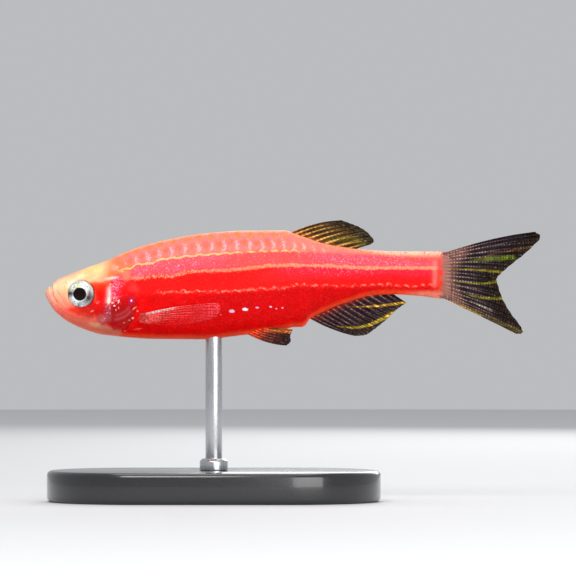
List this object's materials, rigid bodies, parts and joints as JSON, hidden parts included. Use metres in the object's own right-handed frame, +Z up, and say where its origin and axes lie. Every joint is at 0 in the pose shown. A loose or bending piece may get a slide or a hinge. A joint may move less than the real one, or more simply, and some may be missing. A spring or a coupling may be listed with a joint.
{
  "type": "zebra danio",
  "caption": "Life-size still model of a red zebra danio, a slim striped aquarium fish with spread fins and an upturned mouth, held level by a rod on a flat oblong base.",
  "frame": {"origin": "on the underside of the stand's base, below the middle of the fish's whole length from lower lip to tail tip", "axes": "+X from the snout towards the tail, +Y from the fish's left side to its right side, +Z up; the pictured left side faces -Y"},
  "size_m": [0.0474, 0.018, 0.027],
  "materials": {
    "skin": "wet glossy fish skin, red below and peach above, with pale yellow lines",
    "gill_cover": "glossy magenta red with silvery flecks",
    "eye": "clear wet cornea over a silver iris and a black pupil",
    "fin": "thin smoky membrane with pale rays and yellow bands",
    "paired_fin": "thin clear pink to smoky membrane with pale rays",
    "stand_base": "satin black acrylic",
    "stand_rod": "drawn steel, fine lengthwise grain"
  },
  "bodies": {
    "root": {"head": "skin", "gill_cover_left": "gill_cover", "gill_cover_right": "gill_cover", "eye_left": "eye", "eye_right": "eye", "trunk": "skin", "tail_stem": "skin", "tail_fin": "fin", "dorsal_fin": "fin", "anal_fin": "fin", "pectoral_fin_left": "paired_fin", "pectoral_fin_right": "paired_fin", "pelvic_fin_left": "paired_fin", "pelvic_fin_right": "paired_fin", "stand_base": "stand_base", "stand_rod": "stand_rod"}
  },
  "joints": []
}
